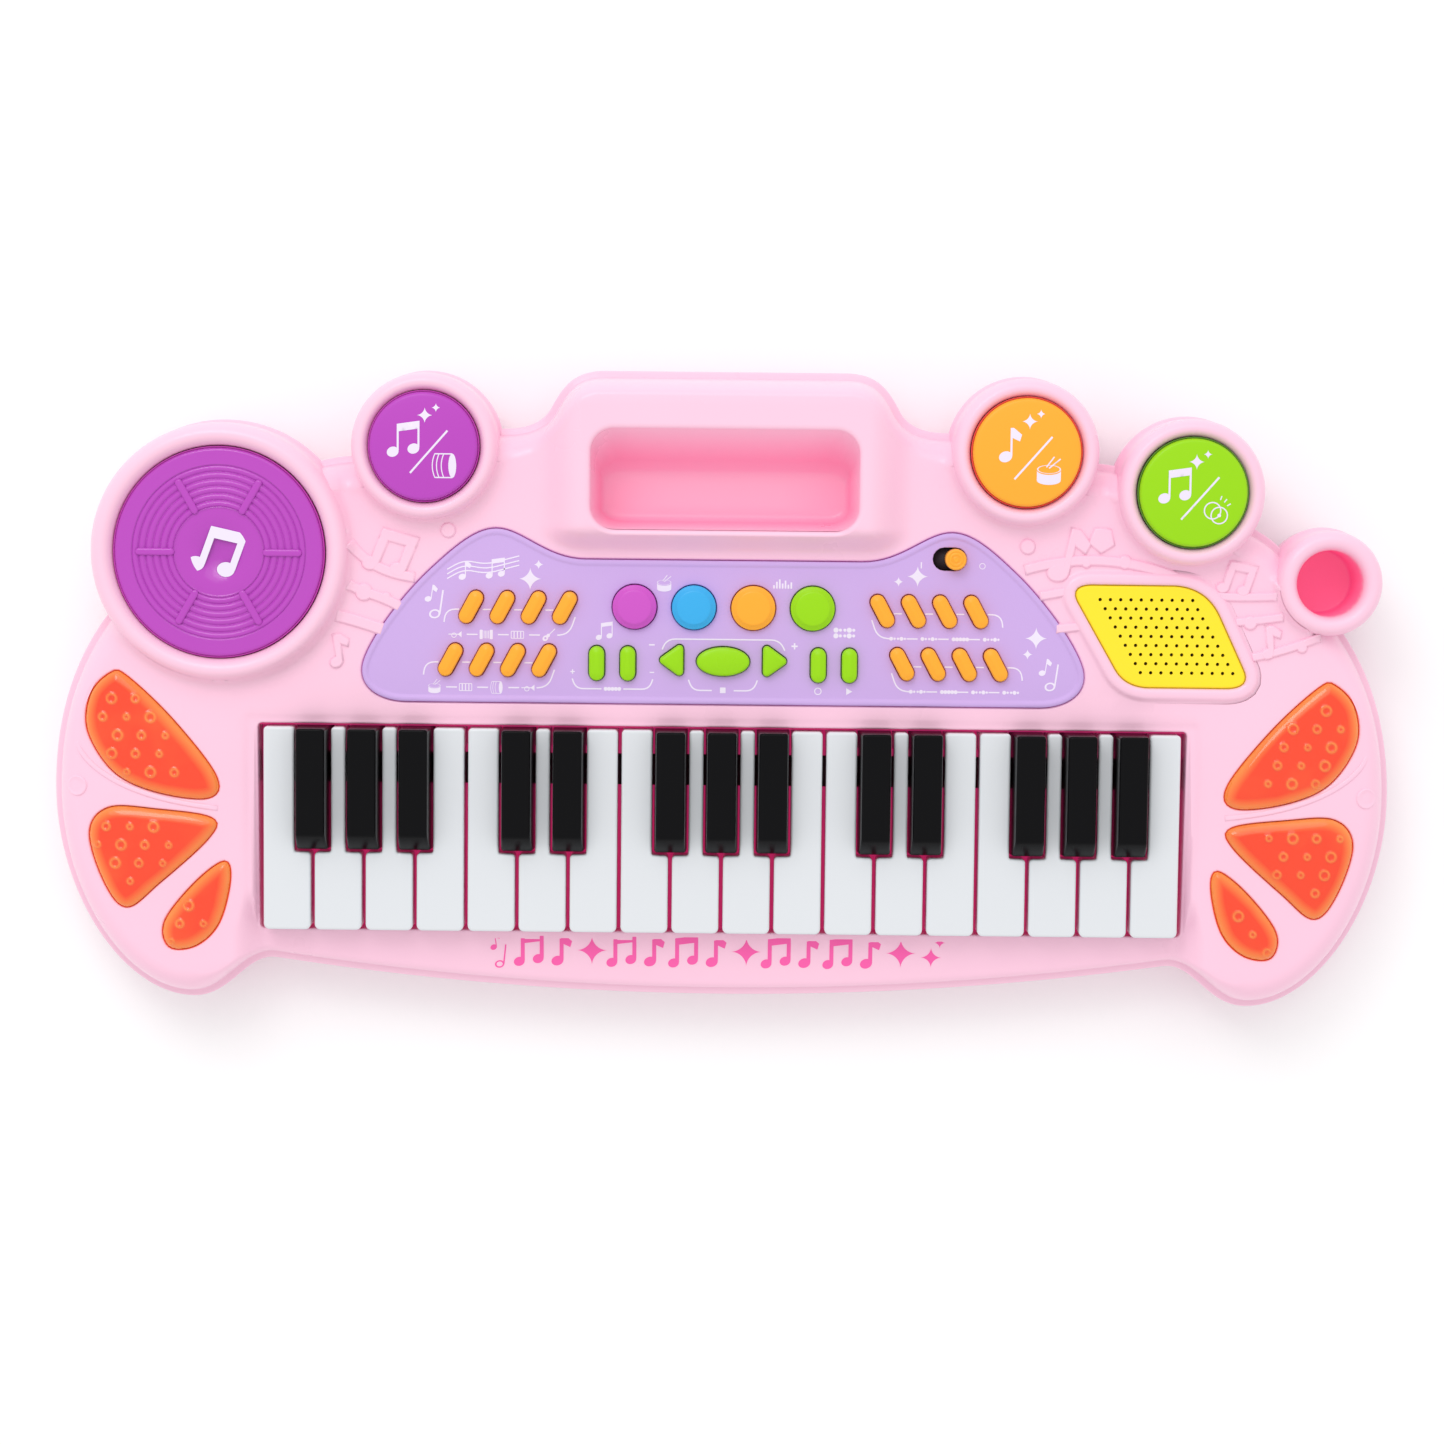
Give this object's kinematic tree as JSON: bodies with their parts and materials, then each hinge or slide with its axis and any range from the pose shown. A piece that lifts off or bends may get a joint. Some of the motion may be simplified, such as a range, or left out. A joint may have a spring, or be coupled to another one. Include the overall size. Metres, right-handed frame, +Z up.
{
  "type": "toy electronic keyboard",
  "caption": "Flat toy keyboard with hinged piano keys, push buttons, drum pads, a spinning turntable disc, side light windows, a finger-pocket handle and a microphone holder.",
  "frame": {"origin": "middle of the footprint, on the surface that the keyboard stands on", "axes": "+X to the player's right along the keys, +Y to the back where the handle is, +Z up out of the deck"},
  "size_m": [0.47, 0.222, 0.0485],
  "materials": {
    "case_pink": "satin moulded ABS, baby pink",
    "key_white": "smooth moulded ABS, cool white",
    "key_black": "polished moulded ABS, black",
    "panel_lavender": "fine matte texture, lavender, with white pad printing",
    "grille_yellow": "satin moulded ABS, yellow",
    "lens_amber": "clear tinted polystyrene, orange red",
    "cap_purple": "gloss moulded ABS, purple",
    "cap_orange": "gloss moulded ABS, orange",
    "cap_green": "gloss moulded ABS, lime green",
    "cap_magenta": "gloss moulded ABS, magenta",
    "cap_blue": "gloss moulded ABS, sky blue",
    "circuit_board": "green solder mask on glass fibre",
    "speaker_metal": "pressed steel basket with a paper cone"
  },
  "bodies": {
    "case": {"top_shell": "case_pink", "bottom_shell": "case_pink", "battery_door": "case_pink", "control_panel": "panel_lavender", "speaker_grille": "grille_yellow", "light_lens_left": "lens_amber", "light_lens_right": "lens_amber", "speaker": "speaker_metal", "main_board": "circuit_board"},
    "white_key_01": {"white_key_01": "key_white"},
    "black_key_01": {"black_key_01": "key_black"},
    "white_key_02": {"white_key_02": "key_white"},
    "black_key_02": {"black_key_02": "key_black"},
    "white_key_03": {"white_key_03": "key_white"},
    "black_key_03": {"black_key_03": "key_black"},
    "white_key_04": {"white_key_04": "key_white"},
    "white_key_05": {"white_key_05": "key_white"},
    "black_key_04": {"black_key_04": "key_black"},
    "white_key_06": {"white_key_06": "key_white"},
    "black_key_05": {"black_key_05": "key_black"},
    "white_key_07": {"white_key_07": "key_white"},
    "white_key_08": {"white_key_08": "key_white"},
    "black_key_06": {"black_key_06": "key_black"},
    "white_key_09": {"white_key_09": "key_white"},
    "black_key_07": {"black_key_07": "key_black"},
    "white_key_10": {"white_key_10": "key_white"},
    "black_key_08": {"black_key_08": "key_black"},
    "white_key_11": {"white_key_11": "key_white"},
    "white_key_12": {"white_key_12": "key_white"},
    "black_key_09": {"black_key_09": "key_black"},
    "white_key_13": {"white_key_13": "key_white"},
    "black_key_10": {"black_key_10": "key_black"},
    "white_key_14": {"white_key_14": "key_white"},
    "white_key_15": {"white_key_15": "key_white"},
    "black_key_11": {"black_key_11": "key_black"},
    "white_key_16": {"white_key_16": "key_white"},
    "black_key_12": {"black_key_12": "key_black"},
    "white_key_17": {"white_key_17": "key_white"},
    "black_key_13": {"black_key_13": "key_black"},
    "white_key_18": {"white_key_18": "key_white"},
    "turntable": {"turntable": "cap_purple"},
    "power_switch": {"power_switch": "cap_orange"},
    "drum_pad_left": {"drum_pad_left": "cap_purple"},
    "drum_pad_middle": {"drum_pad_middle": "cap_orange"},
    "drum_pad_right": {"drum_pad_right": "cap_green"},
    "drum_button_1": {"drum_button_1": "cap_magenta"},
    "drum_button_2": {"drum_button_2": "cap_blue"},
    "drum_button_3": {"drum_button_3": "cap_orange"},
    "drum_button_4": {"drum_button_4": "cap_green"},
    "tempo_down_button": {"tempo_down_button": "cap_green"},
    "tempo_up_button": {"tempo_up_button": "cap_green"},
    "record_button": {"record_button": "cap_green"},
    "play_button": {"play_button": "cap_green"},
    "volume_down_button": {"volume_down_button": "cap_green"},
    "volume_up_button": {"volume_up_button": "cap_green"},
    "stop_button": {"stop_button": "cap_green"},
    "button_strip_left_rear": {"button_strip_left_rear": "cap_orange"},
    "button_strip_left_front": {"button_strip_left_front": "cap_orange"},
    "button_strip_right_rear": {"button_strip_right_rear": "cap_orange"},
    "button_strip_right_front": {"button_strip_right_front": "cap_orange"}
  },
  "joints": [
    {"name": "white_key_01_press", "type": "hinge", "parent": "case", "child": "white_key_01", "pos_m": [-0.15147, -0.005, 0.024], "axis": [1, 0, 0], "range_deg": [0, 3], "stiffness_Nm_per_rad": 0.6, "springref_deg": -2.86},
    {"name": "black_key_01_press", "type": "hinge", "parent": "case", "child": "black_key_01", "pos_m": [-0.14256, -0.005, 0.024], "axis": [1, 0, 0], "range_deg": [0, 3], "stiffness_Nm_per_rad": 0.4, "springref_deg": -2.86},
    {"name": "white_key_02_press", "type": "hinge", "parent": "case", "child": "white_key_02", "pos_m": [-0.13365, -0.005, 0.024], "axis": [1, 0, 0], "range_deg": [0, 3], "stiffness_Nm_per_rad": 0.6, "springref_deg": -2.86},
    {"name": "black_key_02_press", "type": "hinge", "parent": "case", "child": "black_key_02", "pos_m": [-0.12474, -0.005, 0.024], "axis": [1, 0, 0], "range_deg": [0, 3], "stiffness_Nm_per_rad": 0.4, "springref_deg": -2.86},
    {"name": "white_key_03_press", "type": "hinge", "parent": "case", "child": "white_key_03", "pos_m": [-0.11583, -0.005, 0.024], "axis": [1, 0, 0], "range_deg": [0, 3], "stiffness_Nm_per_rad": 0.6, "springref_deg": -2.86},
    {"name": "black_key_03_press", "type": "hinge", "parent": "case", "child": "black_key_03", "pos_m": [-0.10692, -0.005, 0.024], "axis": [1, 0, 0], "range_deg": [0, 3], "stiffness_Nm_per_rad": 0.4, "springref_deg": -2.86},
    {"name": "white_key_04_press", "type": "hinge", "parent": "case", "child": "white_key_04", "pos_m": [-0.09801, -0.005, 0.024], "axis": [1, 0, 0], "range_deg": [0, 3], "stiffness_Nm_per_rad": 0.6, "springref_deg": -2.86},
    {"name": "white_key_05_press", "type": "hinge", "parent": "case", "child": "white_key_05", "pos_m": [-0.08019, -0.005, 0.024], "axis": [1, 0, 0], "range_deg": [0, 3], "stiffness_Nm_per_rad": 0.6, "springref_deg": -2.86},
    {"name": "black_key_04_press", "type": "hinge", "parent": "case", "child": "black_key_04", "pos_m": [-0.07128, -0.005, 0.024], "axis": [1, 0, 0], "range_deg": [0, 3], "stiffness_Nm_per_rad": 0.4, "springref_deg": -2.86},
    {"name": "white_key_06_press", "type": "hinge", "parent": "case", "child": "white_key_06", "pos_m": [-0.06237, -0.005, 0.024], "axis": [1, 0, 0], "range_deg": [0, 3], "stiffness_Nm_per_rad": 0.6, "springref_deg": -2.86},
    {"name": "black_key_05_press", "type": "hinge", "parent": "case", "child": "black_key_05", "pos_m": [-0.05346, -0.005, 0.024], "axis": [1, 0, 0], "range_deg": [0, 3], "stiffness_Nm_per_rad": 0.4, "springref_deg": -2.86},
    {"name": "white_key_07_press", "type": "hinge", "parent": "case", "child": "white_key_07", "pos_m": [-0.04455, -0.005, 0.024], "axis": [1, 0, 0], "range_deg": [0, 3], "stiffness_Nm_per_rad": 0.6, "springref_deg": -2.86},
    {"name": "white_key_08_press", "type": "hinge", "parent": "case", "child": "white_key_08", "pos_m": [-0.02673, -0.005, 0.024], "axis": [1, 0, 0], "range_deg": [0, 3], "stiffness_Nm_per_rad": 0.6, "springref_deg": -2.86},
    {"name": "black_key_06_press", "type": "hinge", "parent": "case", "child": "black_key_06", "pos_m": [-0.01782, -0.005, 0.024], "axis": [1, 0, 0], "range_deg": [0, 3], "stiffness_Nm_per_rad": 0.4, "springref_deg": -2.86},
    {"name": "white_key_09_press", "type": "hinge", "parent": "case", "child": "white_key_09", "pos_m": [-0.00891, -0.005, 0.024], "axis": [1, 0, 0], "range_deg": [0, 3], "stiffness_Nm_per_rad": 0.6, "springref_deg": -2.86},
    {"name": "black_key_07_press", "type": "hinge", "parent": "case", "child": "black_key_07", "pos_m": [0, -0.005, 0.024], "axis": [1, 0, 0], "range_deg": [0, 3], "stiffness_Nm_per_rad": 0.4, "springref_deg": -2.86},
    {"name": "white_key_10_press", "type": "hinge", "parent": "case", "child": "white_key_10", "pos_m": [0.00891, -0.005, 0.024], "axis": [1, 0, 0], "range_deg": [0, 3], "stiffness_Nm_per_rad": 0.6, "springref_deg": -2.86},
    {"name": "black_key_08_press", "type": "hinge", "parent": "case", "child": "black_key_08", "pos_m": [0.01782, -0.005, 0.024], "axis": [1, 0, 0], "range_deg": [0, 3], "stiffness_Nm_per_rad": 0.4, "springref_deg": -2.86},
    {"name": "white_key_11_press", "type": "hinge", "parent": "case", "child": "white_key_11", "pos_m": [0.02673, -0.005, 0.024], "axis": [1, 0, 0], "range_deg": [0, 3], "stiffness_Nm_per_rad": 0.6, "springref_deg": -2.86},
    {"name": "white_key_12_press", "type": "hinge", "parent": "case", "child": "white_key_12", "pos_m": [0.04455, -0.005, 0.024], "axis": [1, 0, 0], "range_deg": [0, 3], "stiffness_Nm_per_rad": 0.6, "springref_deg": -2.86},
    {"name": "black_key_09_press", "type": "hinge", "parent": "case", "child": "black_key_09", "pos_m": [0.05346, -0.005, 0.024], "axis": [1, 0, 0], "range_deg": [0, 3], "stiffness_Nm_per_rad": 0.4, "springref_deg": -2.86},
    {"name": "white_key_13_press", "type": "hinge", "parent": "case", "child": "white_key_13", "pos_m": [0.06237, -0.005, 0.024], "axis": [1, 0, 0], "range_deg": [0, 3], "stiffness_Nm_per_rad": 0.6, "springref_deg": -2.86},
    {"name": "black_key_10_press", "type": "hinge", "parent": "case", "child": "black_key_10", "pos_m": [0.07128, -0.005, 0.024], "axis": [1, 0, 0], "range_deg": [0, 3], "stiffness_Nm_per_rad": 0.4, "springref_deg": -2.86},
    {"name": "white_key_14_press", "type": "hinge", "parent": "case", "child": "white_key_14", "pos_m": [0.08019, -0.005, 0.024], "axis": [1, 0, 0], "range_deg": [0, 3], "stiffness_Nm_per_rad": 0.6, "springref_deg": -2.86},
    {"name": "white_key_15_press", "type": "hinge", "parent": "case", "child": "white_key_15", "pos_m": [0.09801, -0.005, 0.024], "axis": [1, 0, 0], "range_deg": [0, 3], "stiffness_Nm_per_rad": 0.6, "springref_deg": -2.86},
    {"name": "black_key_11_press", "type": "hinge", "parent": "case", "child": "black_key_11", "pos_m": [0.10692, -0.005, 0.024], "axis": [1, 0, 0], "range_deg": [0, 3], "stiffness_Nm_per_rad": 0.4, "springref_deg": -2.86},
    {"name": "white_key_16_press", "type": "hinge", "parent": "case", "child": "white_key_16", "pos_m": [0.11583, -0.005, 0.024], "axis": [1, 0, 0], "range_deg": [0, 3], "stiffness_Nm_per_rad": 0.6, "springref_deg": -2.86},
    {"name": "black_key_12_press", "type": "hinge", "parent": "case", "child": "black_key_12", "pos_m": [0.12474, -0.005, 0.024], "axis": [1, 0, 0], "range_deg": [0, 3], "stiffness_Nm_per_rad": 0.4, "springref_deg": -2.86},
    {"name": "white_key_17_press", "type": "hinge", "parent": "case", "child": "white_key_17", "pos_m": [0.13365, -0.005, 0.024], "axis": [1, 0, 0], "range_deg": [0, 3], "stiffness_Nm_per_rad": 0.6, "springref_deg": -2.86},
    {"name": "black_key_13_press", "type": "hinge", "parent": "case", "child": "black_key_13", "pos_m": [0.14256, -0.005, 0.024], "axis": [1, 0, 0], "range_deg": [0, 3], "stiffness_Nm_per_rad": 0.4, "springref_deg": -2.86},
    {"name": "white_key_18_press", "type": "hinge", "parent": "case", "child": "white_key_18", "pos_m": [0.15147, -0.005, 0.024], "axis": [1, 0, 0], "range_deg": [0, 3], "stiffness_Nm_per_rad": 0.6, "springref_deg": -2.86},
    {"name": "turntable_spin", "type": "hinge", "parent": "case", "child": "turntable", "pos_m": [-0.1745, 0.047, 0.044], "axis": [0, 0, 1], "continuous": true},
    {"name": "power_switch_slide", "type": "slide", "parent": "case", "child": "power_switch", "axis": [1, 0, 0], "range_m": [-0.0038, 0]},
    {"name": "drum_pad_left_press", "type": "slide", "parent": "case", "child": "drum_pad_left", "axis": [0, 0, 1], "range_m": [-0.002, 0], "stiffness_N_per_m": 250, "springref_m": 0.002},
    {"name": "drum_pad_middle_press", "type": "slide", "parent": "case", "child": "drum_pad_middle", "axis": [0, 0, 1], "range_m": [-0.002, 0], "stiffness_N_per_m": 250, "springref_m": 0.002},
    {"name": "drum_pad_right_press", "type": "slide", "parent": "case", "child": "drum_pad_right", "axis": [0, 0, 1], "range_m": [-0.002, 0], "stiffness_N_per_m": 250, "springref_m": 0.002},
    {"name": "drum_button_1_press", "type": "slide", "parent": "case", "child": "drum_button_1", "axis": [0, 0, 1], "range_m": [-0.0018, 0], "stiffness_N_per_m": 150, "springref_m": 0.002},
    {"name": "drum_button_2_press", "type": "slide", "parent": "case", "child": "drum_button_2", "axis": [0, 0, 1], "range_m": [-0.0018, 0], "stiffness_N_per_m": 150, "springref_m": 0.002},
    {"name": "drum_button_3_press", "type": "slide", "parent": "case", "child": "drum_button_3", "axis": [0, 0, 1], "range_m": [-0.0018, 0], "stiffness_N_per_m": 150, "springref_m": 0.002},
    {"name": "drum_button_4_press", "type": "slide", "parent": "case", "child": "drum_button_4", "axis": [0, 0, 1], "range_m": [-0.0018, 0], "stiffness_N_per_m": 150, "springref_m": 0.002},
    {"name": "tempo_down_button_press", "type": "slide", "parent": "case", "child": "tempo_down_button", "axis": [0, 0, 1], "range_m": [-0.0018, 0], "stiffness_N_per_m": 150, "springref_m": 0.002},
    {"name": "tempo_up_button_press", "type": "slide", "parent": "case", "child": "tempo_up_button", "axis": [0, 0, 1], "range_m": [-0.0018, 0], "stiffness_N_per_m": 150, "springref_m": 0.002},
    {"name": "record_button_press", "type": "slide", "parent": "case", "child": "record_button", "axis": [0, 0, 1], "range_m": [-0.0018, 0], "stiffness_N_per_m": 150, "springref_m": 0.002},
    {"name": "play_button_press", "type": "slide", "parent": "case", "child": "play_button", "axis": [0, 0, 1], "range_m": [-0.0018, 0], "stiffness_N_per_m": 150, "springref_m": 0.002},
    {"name": "volume_down_button_press", "type": "slide", "parent": "case", "child": "volume_down_button", "axis": [0, 0, 1], "range_m": [-0.0018, 0], "stiffness_N_per_m": 150, "springref_m": 0.002},
    {"name": "volume_up_button_press", "type": "slide", "parent": "case", "child": "volume_up_button", "axis": [0, 0, 1], "range_m": [-0.0018, 0], "stiffness_N_per_m": 150, "springref_m": 0.002},
    {"name": "stop_button_press", "type": "slide", "parent": "case", "child": "stop_button", "axis": [0, 0, 1], "range_m": [-0.0018, 0], "stiffness_N_per_m": 150, "springref_m": 0.002},
    {"name": "button_strip_left_rear_press", "type": "slide", "parent": "case", "child": "button_strip_left_rear", "axis": [0, 0, 1], "range_m": [-0.0018, 0], "stiffness_N_per_m": 150, "springref_m": 0.002},
    {"name": "button_strip_left_front_press", "type": "slide", "parent": "case", "child": "button_strip_left_front", "axis": [0, 0, 1], "range_m": [-0.0018, 0], "stiffness_N_per_m": 150, "springref_m": 0.002},
    {"name": "button_strip_right_rear_press", "type": "slide", "parent": "case", "child": "button_strip_right_rear", "axis": [0, 0, 1], "range_m": [-0.0018, 0], "stiffness_N_per_m": 150, "springref_m": 0.002},
    {"name": "button_strip_right_front_press", "type": "slide", "parent": "case", "child": "button_strip_right_front", "axis": [0, 0, 1], "range_m": [-0.0018, 0], "stiffness_N_per_m": 150, "springref_m": 0.002}
  ]
}
